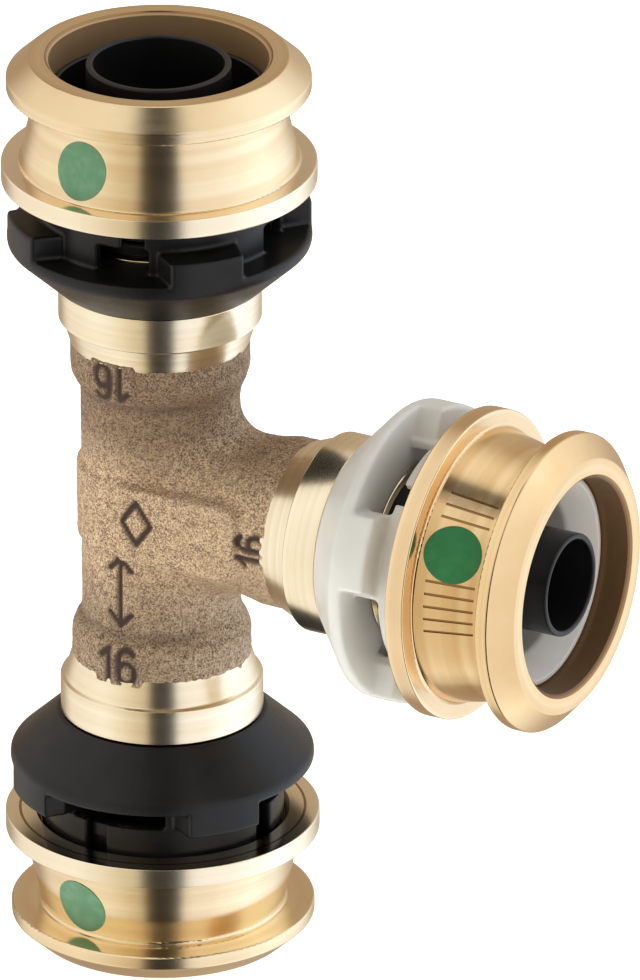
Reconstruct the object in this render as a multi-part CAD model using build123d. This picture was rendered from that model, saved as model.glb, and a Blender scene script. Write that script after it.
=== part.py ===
from build123d import *
import os
from math import atan2, cos, degrees, radians, sin

# Equal tee for 16 mm composite pipe with three axial press ports, in millimetres.
# The origin is where the run and branch axes meet. +Z is up the run, +X out along the branch.
# "Station" is the distance from the origin along a port's own axis, outwards.

OVERSHOOT = 1.0             # how far a cutter runs past the metal

# ---- Casting ----
CAST_END = 18.05            # where the sand-cast skin meets the machined port end
RUN_NECK_R = 8.1
RUN_BULGE_R = 9.15
BRANCH_NECK_R = 8.3
BRANCH_BULGE_R = 8.8
SHOULDER_FOOT = 11.8        # the neck swells into the bulge between these two stations
SHOULDER_TOP = 14.4
BELT_R = 8.55               # raised belt round the middle of the run
PAD_FACE = 9.0              # flat-sided pad that carries the belt on along the branch
PAD_HALF_HEIGHT = 4.15
PAD_END = 13.5
CROTCH_FILLET = 3.4
SHOULDER_ROUND = 2.0
SHOULDER_ROOT = 9.3         # the swollen ends reach back into the necks to here
BELT_ROUND = 0.4
PAD_END_ROUND = 1.5
PAD_EDGE_ROUND = 0.35

# ---- Machined port end, the same on all three ports ----
LAND_FOOT_R = 9.45
LAND_R = 9.95
LAND_END = 19.8
COLLAR_R = 10.35
COLLAR_END = 23.65
COLLAR_ROUND = 0.2
SPIGOT_R = 8.8
SNAP_RIDGE_R = 9.4
SNAP_RIDGE = (29.45, 30.0)
SPIGOT_END = 30.1
WATERWAY_R = 5.2            # DN 10
BRANCH_WATERWAY_R = 4.2
SOCKET_R = 6.95             # counterbore that takes the support sleeve's plug
SOCKET_FLOOR = 24.0

# ---- Press sleeve ----
FLANGE_START = 34.95
FLANGE_R = 16.05
FLANGE_END = 37.0
GROOVE_R_INNER = 14.25      # groove floor radius at the flange
GROOVE_R_OUTER = 12.4       # groove floor radius at the rim
RIM_START = 45.0
RIM_R = 15.5
BEVEL_START = 46.3
FACE_R = 13.2
PORT_END = 48.35
MOUTH_R = 11.2
MOUTH_CHAMFER = 0.35
FLANGE_CHAMFER = 0.4
SLEEVE_EDGE_ROUND = 0.18
GROOVE_ROUND = 0.35
BEVEL_ROUND = 0.35
FACE_ROUND = 0.25
MOUTH_ROUND = 0.12
CAGE_BORE_R = 12.6
CAGE_BORE_END = 39.3        # the sleeve travels 2.8 mm towards the tee when pressed

# ---- Holding ring ----
RING_START = 23.75
RING_TOE_R = 10.65
RING_R = 15.5
CONE_END = 28.2
POCKET_FLOOR = 29.35
TAB_END = 31.9
RING_BORE_R = 8.9
CAGE_R = 12.4
CAGE_WALL = 1.0
CAGE_END = 36.0
TAB_COUNT = 4
TAB_HALF_WIDTH_OUTER = 3.7
TAB_HALF_WIDTH_INNER = 4.2
SLOT_ANGLE = 58.5           # from a tab's middle to the middle of the slot beside its claw
SLOT_WIDTH_DEG = 11.0
WINDOW_END = 32.1
RIM_OVERLAP = 0.6           # how far the rim with the tabs is sunk into the cone
TOE_ROUND = 0.15
CREASE_ROUND = 0.9
RING_EDGE_ROUND = 0.35
TAB_ROUND = 0.3

# ---- Clamp ring ----
CLAMP_START = 32.6
CLAMP_FOOT_R = 11.35        # foot that sits inside the cage
CLAMP_FOOT_END = 34.0
CLAMP_END = 45.1
CLAMP_R = 11.1
CLAMP_LIP = 0.7
CLAMP_FUNNEL_END = 42.4
CLAMP_SLIT = 1.2
TOOTH_STATIONS = (35.0, 36.6, 38.2, 39.8)
TOOTH_HEIGHT = 0.35
TOOTH_LENGTH = 0.9
TOOTH_ROOT_OVERLAP = 0.2
CLAMP_FOOT_ROUND = 0.3
CLAMP_OUTER_ROUND = 0.42
CLAMP_INNER_ROUND = 0.25
CLAMP_FUNNEL_ROUND = 1.0

# ---- Support sleeve and its seals ----
PLUG_R = 6.9
PLUG_START = 24.2
STOP_R = 9.0                # pipe stop that seats on the spigot's end
STOP_END = 31.2
SUPPORT_END = 47.6
BORE_FLARE = (38.5, 41.5)   # the bore widens to its lip between these stations
PLUG_ROUND = 0.3
STOP_ROUND = 0.2
LIP_ROUND = 0.25
FLARE_ROUND = 4.0
BODY_SEAL_STATION = 27.4
BODY_SEAL_GROOVE_R = 5.9
BODY_SEAL_GROOVE_HALF = 0.65
PIPE_SEAL_STATIONS = (34.6, 37.2)
SEAL_CLEARANCE = 0.02
SEAL_END_PLAY = 0.1

# ---- Sleeve markings ----
MARK_DIAMETER = 5.9
MARK_MARGIN = 0.35           # bare metal left between a mark and the groove's corners
MARK_THICKNESS = 0.06
TICK_COUNT = 12
TICK_FIRST_DEG = -35.3      # from the mark's middle
TICK_PITCH_DEG = 5.58
TICK_CLEAR_DEG = 12.5       # no ticks this near to the mark's middle
TICK_WIDTH = 0.28
TICK_DEPTH = 0.12
TICK_SPAN = (38.2, 43.4)

# Each port: outward direction, direction that angles are measured from, angle of the first
# tab, the spans of the ring's windows measured on from a tab's middle, angle and station of the
# mark (angles in degrees, anticlockwise about the outward axis), engraved lines or none, then
# the tube, pipe and seal sizes.
PORTS = {
    "top": dict(axis=(0, 0, 1), zero=(0, -1, 0), tab=48.5, windows=((40.0, 66.0),),
                mark=-6.5, mark_station=40.35,
                ticks=False, tube_r=7.4, lip_bore_r=6.65, bore_r=WATERWAY_R, pipe_r=9.6,
                seal_wire=1.25, seal_groove=0.95),
    "bottom": dict(axis=(0, 0, -1), zero=(0, -1, 0), tab=-54.5, windows=((23.5, 53.0), (64.0, 72.5)),
                   mark=10, mark_station=41.6,
                   ticks=False, tube_r=7.4, lip_bore_r=6.65, bore_r=WATERWAY_R, pipe_r=9.6,
                   seal_wire=1.25, seal_groove=0.95),
    "branch": dict(axis=(1, 0, 0), zero=(0, -1, 0), tab=-20.5, windows=((22.0, 53.0), (64.0, 70.0)),
                   mark=-28.7, mark_station=40.5,
                   ticks=True, tube_r=5.35, lip_bore_r=4.72, bore_r=BRANCH_WATERWAY_R, pipe_r=8.2,
                   seal_wire=1.1, seal_groove=0.65),
}


def turned(corners):
    """Solid turned about Z from (radius, station) corners, each with an optional round."""
    points = [(c[0], c[1]) for c in corners]
    rounds = [c[2] if len(c) > 2 else 0 for c in corners]
    outline = FilletPolyline(*points, radius=rounds, close=True)
    return revolve(Plane.XZ * make_face(outline), Axis.Z)


def tube(outer, inner, start, end):
    """Plain tube about Z."""
    return turned([(inner, start), (outer, start), (outer, end), (inner, end)])


def wedge(middle_deg, width_deg, reach, start, end):
    """Prism about Z that covers a span of angle, for cutting slots and windows."""
    half = radians(width_deg / 2)
    corners = [(0, 0), (reach * cos(half), -reach * sin(half)), (reach * cos(half), reach * sin(half))]
    prism = extrude(make_face(Polyline(*corners, close=True)), end - start)
    return Pos(0, 0, start) * Rot(0, 0, middle_deg) * prism


def port_plane(port):
    """Frame of one port: Z outwards, X where its angles start."""
    return Plane(origin=(0, 0, 0), x_dir=port["zero"], z_dir=port["axis"])


def groove_radius(station):
    """Radius of the sleeve's tapered groove floor."""
    share = (station - FLANGE_END) / (RIM_START - FLANGE_END)
    return GROOVE_R_INNER + share * (GROOVE_R_OUTER - GROOVE_R_INNER)


# ---- Casting and its machined ends ----
def swollen_bar(neck_r, bulge_r, start, end):
    """Solid bar whose neck swells smoothly into a bulge at the end."""
    return turned([(0, start), (neck_r, start), (neck_r, SHOULDER_FOOT, SHOULDER_ROUND),
                   (bulge_r, SHOULDER_TOP, SHOULDER_ROUND), (bulge_r, end), (0, end)])


def machined_end():
    """Solid land cone, collar, spigot and snap ridge of one port."""
    ridge_start, ridge_end = SNAP_RIDGE
    return turned([(0, CAST_END), (LAND_FOOT_R, CAST_END), (LAND_R, LAND_END),
                   (COLLAR_R, LAND_END, COLLAR_ROUND), (COLLAR_R, COLLAR_END),
                   (SPIGOT_R, COLLAR_END), (SPIGOT_R, ridge_start),
                   (SNAP_RIDGE_R, ridge_start), (SPIGOT_R, ridge_end), (SPIGOT_R, SPIGOT_END),
                   (0, SPIGOT_END)])


def socket():
    """Counterbore of one port."""
    return Pos(0, 0, SOCKET_FLOOR) * Cylinder(SOCKET_R, SPIGOT_END - SOCKET_FLOOR + OVERSHOOT,
                                              align=(Align.CENTER, Align.CENTER, Align.MIN))


def tee_body():
    along_branch = Plane(origin=(0, 0, 0), x_dir=(0, -1, 0), z_dir=(1, 0, 0))
    run_neck = Cylinder(RUN_NECK_R, 2 * SHOULDER_FOOT)
    branch_neck = along_branch * extrude(Circle(BRANCH_NECK_R), SHOULDER_FOOT)
    crotch = run_neck + branch_neck
    seam = [e for e in crotch.edges() if e.geom_type not in (GeomType.CIRCLE, GeomType.LINE)]
    body = fillet(seam, CROTCH_FILLET)
    belt = fillet(Cylinder(BELT_R, 2 * PAD_HALF_HEIGHT).edges().filter_by(GeomType.CIRCLE), BELT_ROUND)
    pad = Pos(PAD_END / 2, 0, 0) * Box(PAD_END, 2 * PAD_FACE, 2 * PAD_HALF_HEIGHT)
    pad_end = pad.edges().filter_by(Axis.Y).group_by(Axis.X)[-1]
    pad = fillet(pad_end, PAD_END_ROUND)
    pad = fillet(pad.faces().filter_by(Axis.Y).edges(), PAD_EDGE_ROUND)
    body = body + belt + pad
    for port in PORTS.values():
        on_run = port["axis"][0] == 0
        neck_r = RUN_NECK_R if on_run else BRANCH_NECK_R
        bulge_r = RUN_BULGE_R if on_run else BRANCH_BULGE_R
        end = swollen_bar(neck_r, bulge_r, SHOULDER_ROOT, CAST_END) + machined_end()
        body = body + port_plane(port) * end
    for port in PORTS.values():
        body = body - port_plane(port) * socket()
        body = body - port_plane(port) * extrude(Circle(port["bore_r"]), SOCKET_FLOOR + OVERSHOOT)
    return body


# ---- Support sleeve and seals ----
def seal_wire_radius(port):
    return port["seal_wire"] / 2


def pipe_seal_groove_r(port):
    return port["tube_r"] - port["seal_groove"]


def support_sleeve(port):
    """Plug, pipe stop and thin tube with a flared bore."""
    flare_start, flare_end = BORE_FLARE
    tube_r = port["tube_r"]
    sleeve = turned([
        (port["bore_r"], PLUG_START), (PLUG_R, PLUG_START, PLUG_ROUND), (PLUG_R, SPIGOT_END),
        (STOP_R, SPIGOT_END), (STOP_R, STOP_END, STOP_ROUND), (tube_r, STOP_END),
        (tube_r, SUPPORT_END, LIP_ROUND), (port["lip_bore_r"], SUPPORT_END, LIP_ROUND),
        (port["lip_bore_r"], flare_end, FLARE_ROUND), (port["bore_r"], flare_start, FLARE_ROUND)])
    sleeve -= tube(PLUG_R + OVERSHOOT, BODY_SEAL_GROOVE_R, BODY_SEAL_STATION - BODY_SEAL_GROOVE_HALF,
                   BODY_SEAL_STATION + BODY_SEAL_GROOVE_HALF)
    half = seal_wire_radius(port) + SEAL_END_PLAY
    for station in PIPE_SEAL_STATIONS:
        sleeve -= tube(tube_r + OVERSHOOT, pipe_seal_groove_r(port), station - half, station + half)
    return sleeve


def o_ring(inner_r, wire_r, station):
    return Pos(0, 0, station) * Torus(inner_r + wire_r + SEAL_CLEARANCE, wire_r)


def body_seal(port):
    """Seal between the plug and the counterbore."""
    wire_r = (SOCKET_R - BODY_SEAL_GROOVE_R) / 2 - SEAL_CLEARANCE
    return o_ring(BODY_SEAL_GROOVE_R, wire_r, BODY_SEAL_STATION)


def pipe_seals(port):
    """The two seals that the pipe is pushed over."""
    rings = [o_ring(pipe_seal_groove_r(port), seal_wire_radius(port), s) for s in PIPE_SEAL_STATIONS]
    return Compound(rings)


# ---- Holding ring ----
def tab(angle):
    """One stop tab, wider at its root than at its outer face."""
    root = CAGE_R - CAGE_WALL / 2
    face = RING_R + OVERSHOOT
    corners = [(root, -TAB_HALF_WIDTH_INNER), (face, -TAB_HALF_WIDTH_OUTER),
               (face, TAB_HALF_WIDTH_OUTER), (root, TAB_HALF_WIDTH_INNER)]
    block = extrude(make_face(Polyline(*corners, close=True)), TAB_END - CONE_END - RIM_OVERLAP)
    upright = block.edges().filter_by(Axis.Z).group_by(Axis.X)[-1]
    block = fillet(upright, TAB_ROUND)
    return Rot(0, 0, angle) * Pos(0, 0, CONE_END + RIM_OVERLAP) * block


def holding_ring(port):
    """Cone, banded rim with four stop tabs, and the slotted cage that enters the sleeve."""
    cone = turned([
        (RING_BORE_R, RING_START), (RING_TOE_R, RING_START, TOE_ROUND),
        (RING_R, CONE_END, CREASE_ROUND), (RING_R, POCKET_FLOOR, RING_EDGE_ROUND),
        (RING_BORE_R, POCKET_FLOOR)])
    cage_inner = CAGE_R - CAGE_WALL
    cage = tube(CAGE_R, cage_inner, CONE_END, CAGE_END)
    rim_start = CONE_END + RIM_OVERLAP
    rim = turned([(cage_inner, rim_start), (RING_R, rim_start), (RING_R, TAB_END, RING_EDGE_ROUND),
                  (cage_inner, TAB_END)])
    pitch = 360 / TAB_COUNT
    angles = [port["tab"] + i * pitch for i in range(TAB_COUNT)]
    ring = cone + cage
    for angle in angles:
        ring += rim & tab(angle)
    for angle in angles:
        ring -= wedge(angle + SLOT_ANGLE, SLOT_WIDTH_DEG, 2 * RING_R, POCKET_FLOOR,
                      CAGE_END + OVERSHOOT)
        for start, end in port["windows"]:
            middle = angle + (start + end) / 2
            ring -= wedge(middle, end - start, 2 * RING_R, POCKET_FLOOR, WINDOW_END)
    return ring


# ---- Clamp ring ----
def clamp_ring(port):
    """Split gripping ring with saw teeth inside and a funnel at the mouth."""
    pipe_r = port["pipe_r"]
    bore_r = pipe_r + TOOTH_HEIGHT
    corners = [(bore_r, CLAMP_START), (CLAMP_FOOT_R, CLAMP_START, CLAMP_FOOT_ROUND),
               (CLAMP_FOOT_R, CLAMP_FOOT_END), (CLAMP_R, CLAMP_FOOT_END),
               (CLAMP_R, CLAMP_END, CLAMP_OUTER_ROUND),
               (CLAMP_R - CLAMP_LIP, CLAMP_END, CLAMP_INNER_ROUND),
               (bore_r, CLAMP_FUNNEL_END, CLAMP_FUNNEL_ROUND)]
    ring = turned(corners)
    root_r = bore_r + TOOTH_ROOT_OVERLAP
    for station in TOOTH_STATIONS:
        foot = station - TOOTH_LENGTH
        ring += turned([(root_r, foot), (bore_r, foot), (pipe_r, station), (root_r, station)])
    slit = Box(2 * CLAMP_R, CLAMP_SLIT, 2 * PORT_END, align=(Align.MIN, Align.CENTER, Align.CENTER))
    return ring - Rot(0, 0, port["tab"]) * slit


# ---- Press sleeve and its mark ----
def press_sleeve(port):
    """Turned sleeve: flange, tapered groove, bevelled rim and stepped bore."""
    sleeve = turned([
        (CAGE_BORE_R + FLANGE_CHAMFER, FLANGE_START),
        (FLANGE_R, FLANGE_START, SLEEVE_EDGE_ROUND), (FLANGE_R, FLANGE_END, SLEEVE_EDGE_ROUND),
        (GROOVE_R_INNER, FLANGE_END, GROOVE_ROUND), (GROOVE_R_OUTER, RIM_START, GROOVE_ROUND),
        (RIM_R, RIM_START, SLEEVE_EDGE_ROUND), (RIM_R, BEVEL_START, BEVEL_ROUND),
        (FACE_R, PORT_END, FACE_ROUND), (MOUTH_R + MOUTH_CHAMFER, PORT_END, MOUTH_ROUND),
        (MOUTH_R, PORT_END - MOUTH_CHAMFER), (MOUTH_R, CAGE_BORE_END),
        (CAGE_BORE_R, CAGE_BORE_END), (CAGE_BORE_R, FLANGE_START + FLANGE_CHAMFER)])
    if port["ticks"]:
        offsets = [TICK_FIRST_DEG + i * TICK_PITCH_DEG for i in range(TICK_COUNT)]
        for offset in offsets:
            if abs(offset) > TICK_CLEAR_DEG:
                sleeve -= tick(port["mark"] - offset)
    return sleeve


def tick(angle):
    """Cutter for one engraved line along the groove floor."""
    start, end = TICK_SPAN
    length = end - start
    slope = degrees(atan2(groove_radius(end) - groove_radius(start), length))
    bar = Box(2 * TICK_DEPTH, TICK_WIDTH, length)
    middle = (start + end) / 2
    return Rot(0, 0, angle) * Pos(groove_radius(middle), 0, middle) * Rot(0, slope, 0) * bar


def press_mark(port):
    """Printed spot on the groove floor."""
    start, end = FLANGE_END + MARK_MARGIN, RIM_START - MARK_MARGIN
    skin = turned([(groove_radius(start), start), (groove_radius(start) + MARK_THICKNESS, start),
                   (groove_radius(end) + MARK_THICKNESS, end), (groove_radius(end), end)])
    punch = Plane(origin=(0, 0, port["mark_station"]), x_dir=(0, 1, 0), z_dir=(1, 0, 0))
    spot = skin & punch * extrude(Circle(MARK_DIAMETER / 2), 2 * RIM_R)
    return Rot(0, 0, port["mark"]) * spot


# ---- Writing the parts ----
PER_PORT = {
    "support_sleeve": support_sleeve,
    "body_seal": body_seal,
    "pipe_seals": pipe_seals,
    "holding_ring": holding_ring,
    "clamp_ring": clamp_ring,
    "press_sleeve": press_sleeve,
    "press_mark": press_mark,
}

os.makedirs("parts", exist_ok=True)
export_step(tee_body(), "parts/tee_body.step")
for port_name, port_sizes in PORTS.items():
    for piece_name, make in PER_PORT.items():
        placed = port_plane(port_sizes) * make(port_sizes)
        export_step(placed, f"parts/{piece_name}_{port_name}.step")
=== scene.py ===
"""Looks for an equal tee with three axial press ports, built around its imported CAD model.

Metres, +Z up the run, +X out along the branch, origin where the two axes meet.
"Station" is the distance from the origin along a port's own axis, outwards.
"""

import math

import bmesh
import bpy
import numpy as np
from mathutils import Matrix, Vector, noise


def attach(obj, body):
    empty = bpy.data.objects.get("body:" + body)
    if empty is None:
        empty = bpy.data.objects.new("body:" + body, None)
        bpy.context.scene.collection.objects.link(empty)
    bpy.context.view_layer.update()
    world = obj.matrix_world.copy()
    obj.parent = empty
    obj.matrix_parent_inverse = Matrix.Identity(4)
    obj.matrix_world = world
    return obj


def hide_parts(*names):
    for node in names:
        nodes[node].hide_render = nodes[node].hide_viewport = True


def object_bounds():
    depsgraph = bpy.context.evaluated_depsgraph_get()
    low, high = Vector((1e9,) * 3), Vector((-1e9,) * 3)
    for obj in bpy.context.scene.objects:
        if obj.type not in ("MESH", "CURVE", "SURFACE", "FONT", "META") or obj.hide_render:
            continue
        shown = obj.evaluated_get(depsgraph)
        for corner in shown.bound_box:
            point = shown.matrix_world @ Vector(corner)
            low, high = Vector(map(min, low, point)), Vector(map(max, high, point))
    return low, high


MM = 0.001

# ---- Frame ----
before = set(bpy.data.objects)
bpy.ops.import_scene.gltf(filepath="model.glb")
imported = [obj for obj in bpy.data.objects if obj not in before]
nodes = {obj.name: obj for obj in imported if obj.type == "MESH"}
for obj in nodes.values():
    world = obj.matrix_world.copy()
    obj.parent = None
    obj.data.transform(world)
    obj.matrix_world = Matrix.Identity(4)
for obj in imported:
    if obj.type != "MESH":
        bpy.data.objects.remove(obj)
cad_low, cad_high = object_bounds()

PORTS = {"top": Vector((0, 0, 1)), "bottom": Vector((0, 0, -1)), "branch": Vector((1, 0, 0))}

# ---- Cast skin ----
CAST_VOXEL = 0.255 * MM
CAST_CUT = 18.7 * MM                  # the skin runs on to here, hidden under the machined end
CAST_TUCK = (17.6 * MM, 18.05 * MM)   # between these stations it is drawn in under the machined end
CAST_TUCK_DEPTH = 0.45 * MM
OUTSIDE_R = 6.5 * MM                  # skin nearer to a port's axis than this is inside a bore
CROTCH_SMOOTHING = 18                 # rounds, most of all at CROTCH_MIDDLE along the branch
CROTCH_MIDDLE = 8.2 * MM
CROTCH_SPREAD = 3.0 * MM
CROTCH_HALF_HEIGHT = 13 * MM
SKIN_SMOOTHING = 3
SAND = [(0.030 * MM, 1.1 * MM, 1), (0.040 * MM, 0.55 * MM, 2)]   # height, feature size, seed
WAVES = (0.06 * MM, 5.0 * MM, 3)
PARTING_HEIGHT = 0.10 * MM            # ridge left where the two halves of the mould met
PARTING_WIDTH = 0.22 * MM
PARTING_NOISE = (0.10 * MM, 1.6 * MM, 4)
CREASE_STATION = 12.6 * MM            # sharp foot of the run's swollen ends
CREASE_WIDTH = 0.55 * MM
CREASE_DEPTH = 0.22 * MM
# painted shade along the crease, as a share of full darkening
CREASE_SHADE = 0.4
CREASE_END_X = (6.0 * MM, 7.5 * MM)   # the crease fades out here, towards the branch

# ---- Machined port ends, millimetres ----
RUN_BORE_R = 5.2
BRANCH_BORE_R = 4.2
RUN_LAND_FOOT_R = 8.85
BRANCH_LAND_FOOT_R = 8.6
LAND_FOOT = 16.3                      # station, buried in the casting
LAND_TOP = (9.9, 19.75, 0.3)          # radius, station, round
COLLAR = [(10.35, 19.95, 0.12), (10.35, 23.6, 0.12)]
SPIGOT = [(8.8, 23.65, 0.1), (8.8, 29.45), (9.4, 29.45, 0.1), (8.8, 30.0), (8.8, 30.1, 0.05)]
SOCKET_R = 6.95
SOCKET_SPAN = (24.0, 30.1)
EDGE_ROUND = 0.1
SHARP_DEGREES = 28                    # edges sharper than this stay crisp

# ---- Holding rings ----
RING_VOXEL = 0.2 * MM
RING_SMOOTHING = 6

# ---- Colours, linear: clean and tarnished, or plain and pale ----
RUN_BRASS = ((0.91, 0.76, 0.50), (0.82, 0.63, 0.38))
BRANCH_BRASS = ((0.90, 0.68, 0.39), (0.76, 0.52, 0.26))
RUN_SLEEVE_BORE = (0.52, 0.34, 0.17)
BRANCH_SLEEVE_BORE = (0.22, 0.125, 0.055)
# painted highlight colour of the sleeve flanges
FLANGE_HIGHLIGHT = (1.0, 0.93, 0.76)
# colour of the engraved tick floors: dirt and painted shade
TICK_COLOUR = (0.34, 0.20, 0.085)
COLLAR_METAL = ((0.98, 0.89, 0.69), (0.88, 0.73, 0.50))
CAST_GRAIN = [(0.38, (0.080, 0.044, 0.036)), (0.46, (0.38, 0.25, 0.16)),
              (0.53, (0.80, 0.59, 0.37)), (0.61, (1.00, 0.88, 0.62))]
CAST_WARMTH = (0.50, 0.34, 0.23)
CAST_GLINT = (0.98, 0.84, 0.62)
# colour of the sunk mark floors and the crease: oxide and painted shade
CAST_OXIDE_AND_SHADE = (0.085, 0.052, 0.044)
BLACK_PLASTIC = ((0.0045, 0.0045, 0.005), (0.009, 0.009, 0.0095))
WHITE_PLASTIC = ((0.70, 0.70, 0.66), (0.78, 0.78, 0.74))
WHITE_PLASTIC_INNER = ((0.64, 0.61, 0.54), (0.70, 0.67, 0.60))
WHITE_SCATTER = (1.0, 0.95, 0.85)
RUBBER = ((0.010, 0.010, 0.011), (0.028, 0.028, 0.030))
RUN_GREEN = ((0.115, 0.29, 0.150), (0.15, 0.33, 0.185))
BRANCH_GREEN = ((0.011, 0.175, 0.048), (0.016, 0.20, 0.060))

# ---- Press sleeve, where its finish changes ----
SLEEVE_BORE_R = 11.45 * MM            # just outside the mouth's bore
GROOVE_START = 37.0 * MM              # tapered groove floor: station, radius there, slope
GROOVE_START_R = 14.25 * MM
GROOVE_SLOPE = 1.85 / 8.0
FLANGE_TOP = 37.1 * MM
TICK_DIRT_AND_SHADE = (0.03 * MM, 0.3 * MM)    # depths below the groove floor darkened with dirt and painted shade
BORE_PATINA = 0.55                    # how far the bore looks like oxide, not bare metal
BORE_DULLNESS = 0.25
RUN_FLANGE_HIGHLIGHT = 0.6             # painted highlight: the flange is coloured paler than the rest of the sleeve
BRANCH_FLANGE_HIGHLIGHT = 0.2
SLEEVE_ROUGHNESS = 0.17
COLLAR_ROUGHNESS = 0.18
TURNED_ANISOTROPY = 0.7

# Painted shade on the casting: darker at its top and its foot than round its middle, from the foot (0) to
# the head (1) of this span.
CAST_HEIGHT_SHADE_SPAN = 40 * MM
CAST_HEIGHT_SHADE = [(0.22, 0.68), (0.36, 1.0), (0.62, 1.0), (0.74, (0.54, 0.51, 0.49))]

# ---- View and light ----
VIEW_AZIMUTH = 29.70
VIEW_ELEVATION = 24.00
VIEW_ROLL = -0.31
VIEW_DISTANCE = 2.9578
AIM_RIGHT = 16.17 * MM
AIM_UP = 0.26 * MM
LENS = 1068.1
SENSOR = 36.0
CLIP = (0.05, 20.0)
FLOOR_SIZE = 3.0
FLOOR_GLOW = 0.8
# Wall colour by angle round from the camera, in degrees, to the right.
WALLS = [(-180, (0.46, 0.36, 0.26)), (-150, (0.44, 0.34, 0.25)), (-128, (0.95, 0.90, 0.84)),
         (-70, (1.06, 1.03, 0.98)), (-50, (0.95, 0.90, 0.80)), (-30, (0.76, 0.66, 0.50)),
         (-17, (0.74, 0.64, 0.48)), (17, (1.05, 1.03, 1.06)), (50, (1.08, 1.08, 1.14)),
         (95, (1.35, 1.45, 1.60)), (125, (1.15, 1.20, 1.30)), (155, (0.62, 0.53, 0.42)),
         (180, (0.46, 0.36, 0.26))]
CEILING = (1.02, 0.98, 0.92)
CEILING_START = (0.62, 0.90)    # height in the sky where walls turn into ceiling
# The dark gap is a band over the camera, as wide at the horizon as GAP_HALF_WIDTH each way.
GAP_HALF_WIDTH = 0.29
GAP_TAPER_UP = 0.125
GAP_TAPER_DOWN = 0.10
GAP_BACK = 0.08
GAP_SOFT_EDGE = 0.04
GAP_GLOW = 0.02


def port_matrix(axis):
    """Turns a piece made about +Z so that it lies along a port."""
    return Vector((0, 0, 1)).rotation_difference(axis).to_matrix().to_4x4()


# ---- Node helpers ----
class Nodes:
    """Short hand for building one material's nodes."""

    def __init__(self, tree):
        self.tree = tree

    def add(self, kind, inputs=None, **settings):
        node = self.tree.nodes.new(kind)
        for key, value in settings.items():
            setattr(node, key, value)
        for key, value in (inputs or {}).items():
            self.put(node, key, value)
        return node

    def put(self, node, key, value):
        socket = node.inputs[key]
        if isinstance(value, bpy.types.NodeSocket):
            self.tree.links.new(value, socket)
        else:
            socket.default_value = value

    def math(self, operation, *values, clamp=False):
        node = self.add("ShaderNodeMath", operation=operation, use_clamp=clamp)
        for i, value in enumerate(values):
            self.put(node, i, value)
        return node.outputs[0]

    def noise(self, vector, scale, detail=3.0, roughness=0.55, dimensions="3D", w=None):
        node = self.add("ShaderNodeTexNoise", noise_dimensions=dimensions)
        if vector is not None:
            self.put(node, "Vector", vector)
        if w is not None:
            self.put(node, "W", w)
        self.put(node, "Scale", scale)
        self.put(node, "Detail", detail)
        self.put(node, "Roughness", roughness)
        return node.outputs[0]

    def ramp(self, value, stops):
        """Colour ramp from (position, colour) stops; a number stands for a grey."""
        node = self.add("ShaderNodeValToRGB", {"Fac": value})
        elements = node.color_ramp.elements
        while len(elements) < len(stops):
            elements.new(0.5)
        for element, (position, colour) in zip(elements, stops):
            element.position = position
            grey = isinstance(colour, (int, float))
            element.color = (colour, colour, colour, 1) if grey else (*colour, 1)
        return node.outputs[0]

    def mix(self, factor, a, b, blend="MIX"):
        node = self.add("ShaderNodeMix", data_type="RGBA", blend_type=blend)
        sockets = [s for s in node.inputs if s.type == "RGBA"]
        self.put(node, 0, factor)
        for socket, value in zip(sockets, (a, b)):
            if isinstance(value, bpy.types.NodeSocket):
                self.tree.links.new(value, socket)
            else:
                socket.default_value = (*value, 1)
        return [s for s in node.outputs if s.type == "RGBA"][0]

    def weighted(self, *pairs):
        """Sum of (value, weight) pairs."""
        terms = [self.math("MULTIPLY", value, weight) for value, weight in pairs]
        total = terms[0]
        for term in terms[1:]:
            total = self.math("ADD", total, term)
        return total

    def bump(self, height, strength, distance):
        node = self.add("ShaderNodeBump", {"Height": height, "Strength": strength, "Distance": distance})
        return node.outputs[0]

    def place(self):
        """The shaded point in the object's own coordinates, in metres."""
        return self.add("ShaderNodeTexCoord").outputs["Object"]


def new_material(name):
    """Material with a lone Principled shader: (material, nodes helper, shader)."""
    material = bpy.data.materials.new(name)
    material.use_nodes = True
    tree = material.node_tree
    tree.nodes.clear()
    kit = Nodes(tree)
    shader = kit.add("ShaderNodeBsdfPrincipled")
    output = kit.add("ShaderNodeOutputMaterial")
    tree.links.new(shader.outputs[0], output.inputs[0])
    return material, kit, shader


def dress(obj, material):
    obj.data.materials.clear()
    obj.data.materials.append(material)


# ---- Materials ----
# Noise scales are in cells per metre.
def sleeve_finish(kit, tint, along, radius, bore_colour, flange_highlight):
    """Adds a press sleeve's bore colour, the painted highlight on its flange and its darker tick floors,
    dirt and painted shade, to its tint: (tint, mask of the bore).
    """
    inside = kit.math("LESS_THAN", radius, SLEEVE_BORE_R)
    tint = kit.mix(inside, tint, bore_colour)
    station = kit.math("ABSOLUTE", along)
    # painted highlight: the flange is coloured paler
    flange = kit.math("MULTIPLY", kit.math("LESS_THAN", station, FLANGE_TOP), flange_highlight)
    tint = kit.mix(flange, tint, FLANGE_HIGHLIGHT)
    into_groove = kit.math("SUBTRACT", station, GROOVE_START)
    floor_r = kit.math("SUBTRACT", GROOVE_START_R, kit.math("MULTIPLY", into_groove, GROOVE_SLOPE))
    depth = kit.math("SUBTRACT", floor_r, radius)
    # the engraved ticks are darkened with dirt and painted shade
    below = kit.math("GREATER_THAN", depth, TICK_DIRT_AND_SHADE[0])
    above = kit.math("LESS_THAN", depth, TICK_DIRT_AND_SHADE[1])
    return kit.mix(kit.math("MULTIPLY", below, above), tint, TICK_COLOUR), inside


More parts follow.
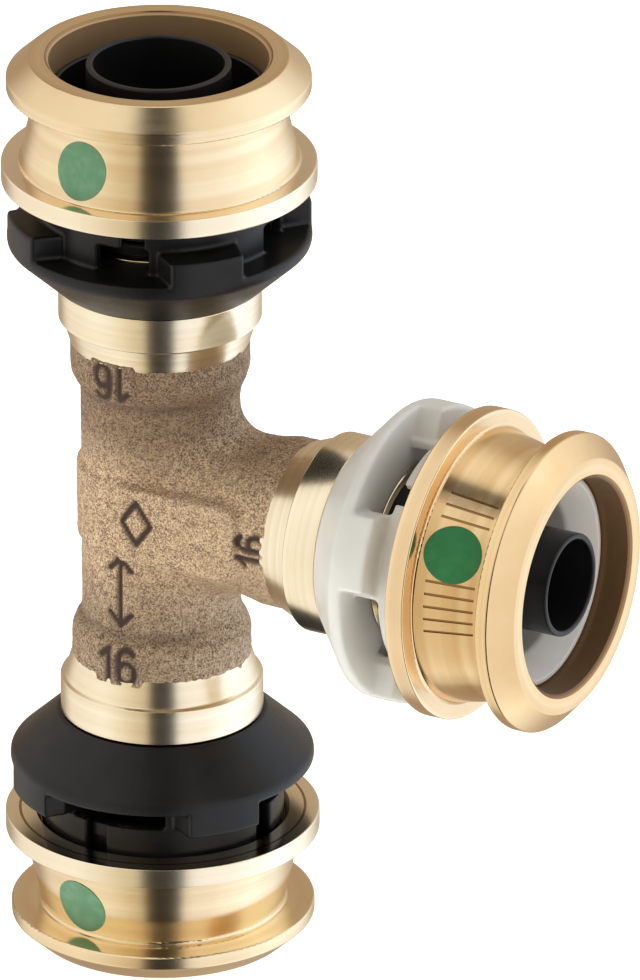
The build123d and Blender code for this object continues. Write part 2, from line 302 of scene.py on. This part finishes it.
def turned_metal(name, axis, colours, roughness, bore_colour=None, flange_highlight=0.0):
    """Metal turned on a lathe: fine lines round the axis, faint bands and a few tarnished patches.

    With a bore colour it is a press sleeve's metal.
    """
    material, kit, shader = new_material(name)
    place = kit.place()
    x, y, z = kit.add("ShaderNodeSeparateXYZ", {"Vector": place}).outputs
    on_run = abs(axis.z) > 0.5
    along, a, b = (z, x, y) if on_run else (x, y, z)
    radius = kit.math("SQRT", kit.math("ADD", kit.math("MULTIPLY", a, a), kit.math("MULTIPLY", b, b)))
    # The lines follow the section's outline, so they are spaced by station and radius together.
    line = kit.weighted((along, 1.0), (radius, 0.73), (kit.noise(place, 160.0, 2.0), 0.06 * MM))
    fine = kit.noise(None, 9000.0, 2.0, 0.7, "1D", line)
    bands = kit.noise(None, 700.0, 2.0, 0.5, "1D", line)
    patches = kit.noise(place, 140.0, 3.0, 0.6)
    clean, tarnished = colours
    streaks = kit.weighted((bands, 0.65), (patches, 0.35))
    tint = kit.ramp(streaks, [(0.30, tarnished), (0.62, clean)])
    rough = kit.math("ADD", kit.weighted((fine, 0.06), (patches, 0.05)), roughness - 0.05)
    if bore_colour:
        tint, inside = sleeve_finish(kit, tint, along, radius, bore_colour, flange_highlight)
        kit.put(shader, "Metallic", kit.math("SUBTRACT", 1.0, kit.math("MULTIPLY", inside, BORE_PATINA)))
        rough = kit.math("ADD", rough, kit.math("MULTIPLY", inside, BORE_DULLNESS))
    else:
        kit.put(shader, "Metallic", 1.0)
    kit.put(shader, "Base Color", tint)
    kit.put(shader, "Roughness", rough)
    kit.put(shader, "Normal", kit.bump(kit.math("ADD", fine, bands), 0.10, 0.012 * MM))
    kit.put(shader, "Anisotropic", TURNED_ANISOTROPY)
    tangent = kit.add("ShaderNodeTangent", direction_type="RADIAL", axis="Z" if on_run else "X")
    kit.put(shader, "Tangent", tangent.outputs[0])
    return material


def cast_metal(name):
    """Sand-cast gunmetal: matt grain with gold glints, purple-brown oxide, sunk marks darkened with oxide
    and painted shade, painted shade along the crease and painted shade at its top and foot.
    """
    material, kit, shader = new_material(name)
    place = kit.place()
    coarse = kit.noise(place, 1500.0, 3.0, 0.6)
    fine = kit.noise(place, 5200.0, 3.0, 0.7)
    grain = kit.weighted((coarse, 0.25), (fine, 0.75))
    glint = kit.noise(place, 5600.0, 2.0, 0.6)
    broad = kit.math("MULTIPLY", kit.noise(place, 170.0, 3.0), 0.4)
    tint = kit.mix(broad, kit.ramp(grain, CAST_GRAIN), CAST_WARMTH)
    spark = kit.math("MULTIPLY", kit.ramp(glint, [(0.60, 0.0), (0.68, 1.0)]), 0.8)
    tint = kit.mix(spark, tint, CAST_GLINT)
    height = kit.add("ShaderNodeSeparateXYZ", {"Vector": place}).outputs[2]
    level = kit.math("ADD", kit.math("DIVIDE", height, CAST_HEIGHT_SHADE_SPAN), 0.5)
    # painted shade: the casting's colour is darkened towards its top and its foot
    tint = kit.mix(1.0, tint, kit.ramp(level, CAST_HEIGHT_SHADE), "MULTIPLY")
    # per-vertex darkening: oxide and painted shade in the sunk marks, painted shade along the crease
    oxide_and_shade = kit.add("ShaderNodeAttribute", attribute_name="oxide_and_shade").outputs["Fac"]
    kit.put(shader, "Base Color", kit.mix(oxide_and_shade, tint, CAST_OXIDE_AND_SHADE))
    kit.put(shader, "Metallic", kit.ramp(grain, [(0.40, 0.35), (0.60, 0.9)]))
    kit.put(shader, "Roughness", kit.ramp(grain, [(0.40, 0.72), (0.64, 0.40)]))
    kit.put(shader, "Normal", kit.bump(kit.weighted((grain, 1.0), (glint, 0.4)), 0.85, 0.16 * MM))
    return material


def moulded_plastic(name, colours, roughness, scatter=0.0, gloss=0.5):
    """Injection-moulded plastic with a fine spark-eroded skin and slight flow marks."""
    material, kit, shader = new_material(name)
    place = kit.place()
    plain, pale = colours
    kit.put(shader, "Base Color", kit.ramp(kit.noise(place, 120.0, 2.0), [(0.38, plain), (0.66, pale)]))
    uneven = kit.math("MULTIPLY", kit.noise(place, 420.0, 3.0), 0.16)
    kit.put(shader, "Roughness", kit.math("ADD", uneven, roughness - 0.08))
    kit.put(shader, "Specular IOR Level", gloss)
    kit.put(shader, "Normal", kit.bump(kit.noise(place, 5200.0, 2.0, 0.5), 0.12, 0.02 * MM))
    if scatter:
        kit.put(shader, "Subsurface Weight", scatter)
        kit.put(shader, "Subsurface Radius", WHITE_SCATTER)
        kit.put(shader, "Subsurface Scale", 1.2 * MM)
    return material


def rubber(name, colours):
    """Matt moulded rubber with a faint bloom."""
    material, kit, shader = new_material(name)
    place = kit.place()
    bloom = kit.noise(place, 600.0, 3.0)
    plain, pale = colours
    kit.put(shader, "Base Color", kit.ramp(bloom, [(0.40, plain), (0.70, pale)]))
    kit.put(shader, "Roughness", kit.ramp(bloom, [(0.40, 0.50), (0.70, 0.72)]))
    kit.put(shader, "Normal", kit.bump(kit.noise(place, 3600.0, 2.0), 0.15, 0.02 * MM))
    return material


def ink(name, colours):
    """Printed spot: slightly uneven ink over turned metal."""
    material, kit, shader = new_material(name)
    cover = kit.noise(kit.place(), 900.0, 3.0)
    full, thin = colours
    kit.put(shader, "Base Color", kit.ramp(cover, [(0.34, thin), (0.56, full)]))
    kit.put(shader, "Roughness", kit.ramp(cover, [(0.40, 0.34), (0.65, 0.50)]))
    kit.put(shader, "Normal", kit.bump(cover, 0.10, 0.02 * MM))
    return material


# ---- Strokes sunk in the casting ----
def segment_distance(u, v, a, b):
    """Distance from points (u, v) to the segment a-b."""
    du, dv = b[0] - a[0], b[1] - a[1]
    t = np.clip(((u - a[0]) * du + (v - a[1]) * dv) / max(du * du + dv * dv, 1e-12), 0, 1)
    return np.hypot(u - a[0] - t * du, v - a[1] - t * dv)


def path_distance(u, v, points):
    """Distance from points (u, v) to the nearest stretch of a stroke path."""
    return np.min([segment_distance(u, v, a, b) for a, b in zip(points, points[1:])], axis=0)


def arc(cx, cy, rx, ry, start, end, steps=14):
    """Points along part of an ellipse, angles in degrees."""
    turns = [math.radians(start + (end - start) * i / steps) for i in range(steps + 1)]
    return [(cx + rx * math.cos(t), cy + ry * math.sin(t)) for t in turns]


def sixteen():
    """The pipe size in a box one unit high, centred on the origin, as stroke paths."""
    one = [[(-0.46, 0.24), (-0.24, 0.44), (-0.24, -0.44)]]
    stem = arc(0.25, 0.18, 0.21, 0.28, 40, 180) + [(0.04, -0.16)]
    bowl = arc(0.25, -0.16, 0.21, 0.28, 0, 360, 20)
    return one + [stem, bowl]


def double_arrow():
    """Plain two-headed arrow along the run, one unit long."""
    head = 0.17
    return [[(0, -0.5), (0, 0.5)], [(-head, 0.5 - head), (0, 0.5), (head, 0.5 - head)],
            [(-head, head - 0.5), (0, -0.5), (head, head - 0.5)]]


def diamond():
    """Plain diamond, one unit high."""
    return [[(0, 0.5), (0.36, 0), (0, -0.5), (-0.36, 0), (0, 0.5)]]


# Each mark: paths, centre along X and Z, height, turn in degrees, stroke half width, and whether
# it stands on a raised plate.
MARKS = [
    (sixteen(), (-0.5 * MM, 15.6 * MM), 4.0 * MM, 180, 0.30 * MM, True),
    (sixteen(), (0.0, -15.75 * MM), 4.1 * MM, 0, 0.30 * MM, True),
    (sixteen(), (15.4 * MM, 0.0), 3.6 * MM, 90, 0.28 * MM, False),
    (diamond(), (2.1 * MM, 0.4 * MM), 4.6 * MM, 0, 0.30 * MM, False),
    (double_arrow(), (-0.3 * MM, -8.0 * MM), 7.4 * MM, 0, 0.28 * MM, False),
]
MARK_DEPTH = 0.22 * MM
MARK_EDGE = 0.16 * MM
MARK_REACH = 0.9                      # no mark reaches further from its centre, in heights
MARKED_FRONT = (4.0 * MM, 5.5 * MM)   # the marks fade in between these distances towards -Y
PLATE_RISE = 0.28 * MM
PLATE_HALF_SIZE = (0.62, 0.56)        # in heights
PLATE_EDGE = (-0.1 * MM, 0.22 * MM)


def soft_step(x, low, high):
    """0 below low, 1 above high, smooth in between."""
    t = np.clip((x - low) / (high - low), 0, 1)
    return t * t * (3 - 2 * t)


def mark_relief(points):
    """How far the marks move each point of the skin outwards, and how dark they leave it."""
    move = np.zeros(len(points))
    oxide_and_shade = np.zeros(len(points))
    front = soft_step(-points[:, 1], *MARKED_FRONT)
    for paths, (cx, cz), height, turn, half, plate in MARKS:
        t = math.radians(turn)
        du, dv = (points[:, 0] - cx) / height, (points[:, 2] - cz) / height
        u, v = du * math.cos(t) + dv * math.sin(t), dv * math.cos(t) - du * math.sin(t)
        near = (np.abs(u) < MARK_REACH) & (np.abs(v) < MARK_REACH) & (front > 0)
        distance = np.full(len(points), 1.0)
        distance[near] = np.min([path_distance(u[near], v[near], p) for p in paths], axis=0) * height
        stroke = (1 - soft_step(distance, half - MARK_EDGE / 2, half + MARK_EDGE)) * front
        move -= MARK_DEPTH * stroke
        # the sunk strokes are darkened with oxide and painted shade
        oxide_and_shade = np.maximum(oxide_and_shade, stroke)
        if plate:
            rim = np.maximum(np.abs(u) - PLATE_HALF_SIZE[0], np.abs(v) - PLATE_HALF_SIZE[1]) * height
            move += PLATE_RISE * (1 - soft_step(rim, *PLATE_EDGE)) * front
    return move, oxide_and_shade


# ---- Meshes ----
def mesh_object(name, mesh):
    obj = bpy.data.objects.new(name, mesh)
    bpy.context.scene.collection.objects.link(obj)
    return obj


def evaluated_mesh(obj):
    """The mesh of obj with its modifiers applied."""
    depsgraph = bpy.context.evaluated_depsgraph_get()
    return bpy.data.meshes.new_from_object(obj.evaluated_get(depsgraph))


def voxel_copy(source, name, voxel, cut=None):
    """Evenly meshed copy of a CAD node, cut off square at a station on every port if asked."""
    bm = bmesh.new()
    bm.from_mesh(source.data)
    bmesh.ops.remove_doubles(bm, verts=bm.verts, dist=1e-7)
    if cut:
        for axis in PORTS.values():
            geometry = bm.verts[:] + bm.edges[:] + bm.faces[:]
            bmesh.ops.bisect_plane(bm, geom=geometry, plane_co=axis * cut, plane_no=axis, clear_outer=True)
            rim = [e for e in bm.edges if e.is_boundary]
            bmesh.ops.triangle_fill(bm, use_beauty=True, edges=rim)
    bmesh.ops.recalc_face_normals(bm, faces=bm.faces)
    mesh = bpy.data.meshes.new(name)
    bm.to_mesh(mesh)
    bm.free()
    mesh.materials.clear()
    obj = mesh_object(name, mesh)
    remesh = obj.modifiers.new("even", "REMESH")
    remesh.mode = "VOXEL"
    remesh.voxel_size = voxel
    fine = evaluated_mesh(obj)
    obj.modifiers.clear()
    obj.data = fine
    fine.name = name
    return obj


def vertex_values(mesh, what):
    """One row of three numbers per vertex: its "co" or its "normal"."""
    values = np.empty(len(mesh.vertices) * 3, np.float32)
    mesh.vertices.foreach_get(what, values)
    return values.reshape(-1, 3).astype(float)


def set_coordinates(mesh, points):
    mesh.vertices.foreach_set("co", points.astype(np.float32).ravel())
    mesh.update()


def relaxed(mesh, rounds, weight, shrink_guard=True):
    """Smooths vertices towards their neighbours' mean, by a weight from 0 to 1 each.

    The shrink guard undoes each step's shrinking with a step back.
    """
    points = vertex_values(mesh, "co")
    edges = np.empty(len(mesh.edges) * 2, np.int32)
    mesh.edges.foreach_get("vertices", edges)
    a, b = edges.reshape(-1, 2).T
    count = np.bincount(a, minlength=len(points)) + np.bincount(b, minlength=len(points))
    factors = (0.55, -0.56) if shrink_guard else (0.5,)
    for _ in range(rounds):
        for factor in factors:
            total = np.zeros_like(points)
            for k in range(3):
                total[:, k] = (np.bincount(a, points[b, k], len(points))
                               + np.bincount(b, points[a, k], len(points)))
            mean = total / count[:, None]
            points += (mean - points) * (factor * weight)[:, None]
    set_coordinates(mesh, points)


def bumps(points, size, seed):
    """Smooth noise of one feature size at every point, about -1 to 1."""
    shift = Vector((seed * 3.1, seed * 7.7, seed * 1.3))
    scale = 1 / size
    return np.array([noise.noise(Vector(p) * scale + shift) for p in points])


def tucked(points):
    """Draws the skin's ends in, so that they lie hidden inside the machined ends."""
    for axis in PORTS.values():
        direction = np.array(axis)
        station = points @ direction
        radial = points - np.outer(station, direction)
        r = np.linalg.norm(radial, axis=1)
        tuck = soft_step(station, *CAST_TUCK) * (r > OUTSIDE_R) * CAST_TUCK_DEPTH
        points -= radial / np.maximum(r, 1e-9)[:, None] * tuck[:, None]
    return points


def cast_skin():
    """The casting's sand-cast outside and its bores, with marks, parting line and grain."""
    skin = voxel_copy(nodes["tee_body"], "cast_skin", CAST_VOXEL, CAST_CUT)
    mesh = skin.data
    x, y, z = vertex_values(mesh, "co").T
    branch_r = np.hypot(y, z)
    outside = np.where(x > branch_r, branch_r, np.hypot(x, y)) > OUTSIDE_R
    crotch = np.exp(-((x - CROTCH_MIDDLE) / CROTCH_SPREAD) ** 2) * (np.abs(z) < CROTCH_HALF_HEIGHT) * outside
    relaxed(mesh, CROTCH_SMOOTHING, crotch, shrink_guard=False)
    relaxed(mesh, SKIN_SMOOTHING, np.ones(len(x)))
    points = vertex_values(mesh, "co")
    out = vertex_values(mesh, "normal")
    x, y, z = points.T
    move, oxide_and_shade = mark_relief(points)
    sand = sum(size * bumps(points, feature, seed) for size, feature, seed in SAND)
    size, feature, seed = WAVES
    waves = size * bumps(points, feature, seed)
    size, feature, seed = PARTING_NOISE
    parting = np.exp(-(y / PARTING_WIDTH) ** 2) * (PARTING_HEIGHT + size * bumps(points, feature, seed))
    crease = np.exp(-((np.abs(z) - CREASE_STATION) / CREASE_WIDTH) ** 2) * (1 - soft_step(x, *CREASE_END_X))
    # painted shade along the crease
    oxide_and_shade = np.maximum(oxide_and_shade, CREASE_SHADE * crease)
    relief = (sand + waves + parting - CREASE_DEPTH * crease) * outside
    points = tucked(points + out * (move + relief)[:, None])
    set_coordinates(mesh, points)
    layer = mesh.attributes.new("oxide_and_shade", "FLOAT", "POINT")
    layer.data.foreach_set("value", oxide_and_shade.astype(np.float32))
    mesh.shade_smooth()
    return skin


def lathe(name, outline, steps=192):
    """Closed solid turned about +Z from (radius, station) corners in order round the section."""
    angles = [2 * math.pi * i / steps for i in range(steps)]
    verts = [(r * math.cos(t), r * math.sin(t), s) for t in angles for r, s in outline]
    n = len(outline)
    faces = []
    for i in range(steps):
        j = (i + 1) % steps
        for k in range(n):
            m = (k + 1) % n
            faces.append((i * n + k, j * n + k, j * n + m, i * n + m))
    mesh = bpy.data.meshes.new(name)
    mesh.from_pydata(verts, [], faces)
    bm = bmesh.new()
    bm.from_mesh(mesh)
    bmesh.ops.recalc_face_normals(bm, faces=bm.faces)
    bm.to_mesh(mesh)
    bm.free()
    return mesh


def rounded(corners, steps=5):
    """Closed outline of (radius, station) corners in millimetres; a third number rounds a corner."""
    points = []
    count = len(corners)
    for i, corner in enumerate(corners):
        here = Vector(corner[:2])
        size = corner[2] if len(corner) > 2 else 0
        if not size:
            points.append(here)
            continue
        to_last = (Vector(corners[i - 1][:2]) - here).normalized()
        to_next = (Vector(corners[(i + 1) % count][:2]) - here).normalized()
        half = to_last.angle(to_next) / 2
        start = here + to_last * size / math.tan(half)
        end = here + to_next * size / math.tan(half)
        for k in range(steps + 1):
            t = k / steps
            points.append(start * (1 - t) ** 2 + here * 2 * t * (1 - t) + end * t ** 2)
    return [(p.x * MM, p.y * MM) for p in points]


def machined_end(port, axis):
    """Land cone, collar, spigot, snap ridge and counterbore of one port."""
    branch = port == "branch"
    bore = BRANCH_BORE_R if branch else RUN_BORE_R
    foot_r = BRANCH_LAND_FOOT_R if branch else RUN_LAND_FOOT_R
    socket_floor, socket_mouth = SOCKET_SPAN
    socket = [(SOCKET_R, socket_mouth, EDGE_ROUND), (SOCKET_R, socket_floor, EDGE_ROUND),
              (bore, socket_floor, EDGE_ROUND)]
    outline = [(bore, LAND_FOOT), (foot_r, LAND_FOOT), LAND_TOP] + COLLAR + SPIGOT + socket
    mesh = lathe(f"machined_end_{port}", rounded(outline))
    mesh.transform(port_matrix(axis))
    obj = mesh_object(mesh.name, mesh)
    mesh.shade_smooth()
    mesh.set_sharp_from_angle(angle=math.radians(SHARP_DEGREES))
    return obj


def soft_ring(port):
    """Holding ring with its moulded edges rounded over."""
    ring = voxel_copy(nodes[f"holding_ring_{port}"], f"ring_skin_{port}", RING_VOXEL)
    relaxed(ring.data, RING_SMOOTHING, np.ones(len(ring.data.vertices)))
    ring.data.shade_smooth()
    return ring


# ---- Build the object ----
cast = cast_metal("cast_gunmetal")
black = moulded_plastic("black_plastic", BLACK_PLASTIC, 0.36, gloss=0.33)
white = moulded_plastic("white_plastic", WHITE_PLASTIC, 0.38, 0.25)
inner_white = moulded_plastic("white_plastic_inner", WHITE_PLASTIC_INNER, 0.42, 0.2)
seal = rubber("seal_rubber", RUBBER)

skin = cast_skin()
dress(skin, cast)
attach(skin, "fitting")
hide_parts("tee_body")

for port, axis in PORTS.items():
    branch = port == "branch"
    brass = turned_metal(f"sleeve_brass_{port}", axis,
                         BRANCH_BRASS if branch else RUN_BRASS, SLEEVE_ROUGHNESS,
                         BRANCH_SLEEVE_BORE if branch else RUN_SLEEVE_BORE,
                         BRANCH_FLANGE_HIGHLIGHT if branch else RUN_FLANGE_HIGHLIGHT)
    collar = turned_metal(f"collar_metal_{port}", axis, COLLAR_METAL, COLLAR_ROUGHNESS)
    end = machined_end(port, axis)
    dress(end, collar)
    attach(end, "fitting")
    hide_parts("tee_body")
    ring = soft_ring(port)
    dress(ring, white if branch else black)
    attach(ring, f"ring_{port}")
    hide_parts(f"holding_ring_{port}")
    dress(nodes[f"press_sleeve_{port}"], brass)
    dress(nodes[f"clamp_ring_{port}"], inner_white if branch else black)
    dress(nodes[f"support_sleeve_{port}"], black)
    dress(nodes[f"press_mark_{port}"], ink(f"green_ink_{port}", BRANCH_GREEN if branch else RUN_GREEN))
    dress(nodes[f"body_seal_{port}"], seal)
    dress(nodes[f"pipe_seals_{port}"], seal)


# ---- Floor, light and camera ----
def floor():
    """Plain pale floor under the lower sleeve."""
    half = FLOOR_SIZE / 2
    mesh = bpy.data.meshes.new("floor")
    low = cad_low.z
    mesh.from_pydata([(-half, -half, low), (half, -half, low), (half, half, low), (-half, half, low)], [],
                     [(0, 1, 2, 3)])
    obj = mesh_object("floor", mesh)
    material, kit, shader = new_material("floor_paint")
    kit.put(shader, "Base Color", kit.ramp(kit.noise(kit.place(), 30.0, 3.0), [(0.3, 0.86), (0.7, 0.90)]))
    kit.put(shader, "Roughness", 0.9)
    kit.put(shader, "Emission Color", (1, 1, 1, 1))
    kit.put(shader, "Emission Strength", FLOOR_GLOW)
    dress(obj, material)
    obj.visible_glossy = False


def studio():
    """White room, warmer on the left and darker behind, with a dark gap on the camera's side."""
    world = bpy.data.worlds.new("studio")
    bpy.context.scene.world = world
    world.use_nodes = True
    tree = world.node_tree
    tree.nodes.clear()
    kit = Nodes(tree)
    direction = kit.add("ShaderNodeTexCoord").outputs["Generated"]
    turned = kit.add("ShaderNodeVectorRotate", {"Vector": direction, "Angle": -math.radians(VIEW_AZIMUTH)},
                     rotation_type="Z_AXIS")
    x, y, z = kit.add("ShaderNodeSeparateXYZ", {"Vector": turned.outputs[0]}).outputs
    side = kit.math("ARCTAN2", x, kit.math("MULTIPLY", y, -1.0))
    place = kit.math("ADD", kit.math("DIVIDE", side, 2 * math.pi), 0.5)
    walls = kit.ramp(place, [(0.5 + degrees / 360, colour) for degrees, colour in WALLS])
    overhead = kit.ramp(z, [(CEILING_START[0], 0.0), (CEILING_START[1], 1.0)])
    room = kit.mix(overhead, walls, CEILING)
    taper_up = kit.math("MULTIPLY", z, GAP_TAPER_UP)
    taper_down = kit.math("MULTIPLY", z, -GAP_TAPER_DOWN)
    taper = kit.math("MAXIMUM", taper_up, taper_down)
    past = kit.math("SUBTRACT", kit.math("ADD", kit.math("ABSOLUTE", x), taper), GAP_HALF_WIDTH)
    outside = kit.math("DIVIDE", kit.math("MAXIMUM", past, kit.math("SUBTRACT", y, GAP_BACK)), GAP_SOFT_EDGE)
    gap = kit.math("ADD", outside, 0.5, clamp=True)
    lit = kit.math("MAXIMUM", gap, GAP_GLOW)
    sky = kit.mix(1.0, room, lit, "MULTIPLY")
    background = kit.add("ShaderNodeBackground", {"Color": sky, "Strength": 1.0})
    output = kit.add("ShaderNodeOutputWorld")
    tree.links.new(background.outputs[0], output.inputs[0])


def camera():
    """Long lens, aimed a little beside the point where the axes cross."""
    a, e, roll = (math.radians(v) for v in (VIEW_AZIMUTH, VIEW_ELEVATION, VIEW_ROLL))
    back = Vector((math.sin(a) * math.cos(e), -math.cos(a) * math.cos(e), math.sin(e)))
    right = Vector((math.cos(a), math.sin(a), 0))
    up = back.cross(right)
    right_rolled = right * math.cos(roll) + up * math.sin(roll)
    up_rolled = up * math.cos(roll) - right * math.sin(roll)
    place = back * VIEW_DISTANCE
    target = right_rolled * AIM_RIGHT + up_rolled * AIM_UP
    back = (place - target).normalized()
    right = up_rolled.cross(back).normalized()
    up = back.cross(right)
    data = bpy.data.cameras.new("camera")
    data.lens = LENS
    data.sensor_width = SENSOR
    data.clip_start, data.clip_end = CLIP
    cam = bpy.data.objects.new("camera", data)
    bpy.context.scene.collection.objects.link(cam)
    matrix = Matrix((right, up, back)).transposed().to_4x4()
    matrix.translation = place
    cam.matrix_world = matrix
    bpy.context.scene.camera = cam


floor()
studio()
camera()
bpy.context.scene.view_settings.view_transform = "Standard"
